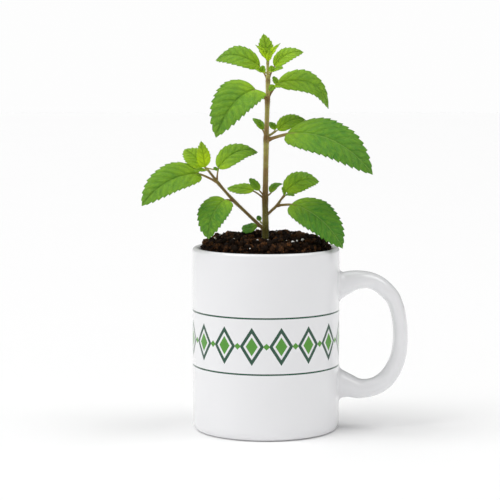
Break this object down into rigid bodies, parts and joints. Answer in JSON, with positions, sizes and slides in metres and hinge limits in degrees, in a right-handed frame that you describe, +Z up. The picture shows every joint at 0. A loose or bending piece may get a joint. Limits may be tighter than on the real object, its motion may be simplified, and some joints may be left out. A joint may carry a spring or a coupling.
{
  "type": "holy basil plant in a mug",
  "caption": "Young holy basil plant with serrated opposite leaves on a branching stem, growing in a white glazed mug filled with potting soil.",
  "frame": {"origin": "on the mug's axis, on the plane its foot ring stands on", "axes": "+Z up the plant, +X from the mug's axis towards its handle, -Y towards the side the picture shows"},
  "size_m": [0.1475, 0.082, 0.2199],
  "materials": {
    "glaze": "glossy white glaze",
    "soil": "moist dark potting soil with white perlite",
    "stem": "satin, finely hairy",
    "leaf": "satin, quilted between the veins",
    "young_leaf": "satin, quilted between the veins"
  },
  "bodies": {
    "root": {"mug": "glaze", "soil": "soil", "main_stem": "stem", "left_branch": "stem", "right_branch": "stem", "leaf_top_left": "leaf", "leaf_top_right": "leaf", "leaf_upper_left": "leaf", "leaf_upper_right": "leaf", "leaf_middle_right": "leaf", "leaf_lower_right": "leaf", "leaf_rim_right": "leaf", "leaf_branch_left": "leaf", "leaf_branch_right": "leaf", "leaf_branch_low": "leaf", "leaf_middle_left_small": "young_leaf", "leaf_lower_right_small": "young_leaf", "leaf_lower_left_long": "young_leaf", "leaf_lower_left_small": "young_leaf", "leaf_base_left": "young_leaf", "growing_tip": "young_leaf", "left_branch_tip": "young_leaf", "right_branch_tip": "young_leaf", "top_shoot_right": "young_leaf", "top_shoot_left": "young_leaf", "upper_shoot_right": "young_leaf", "middle_shoot_right": "young_leaf", "base_shoot_left": "young_leaf"}
  },
  "joints": []
}
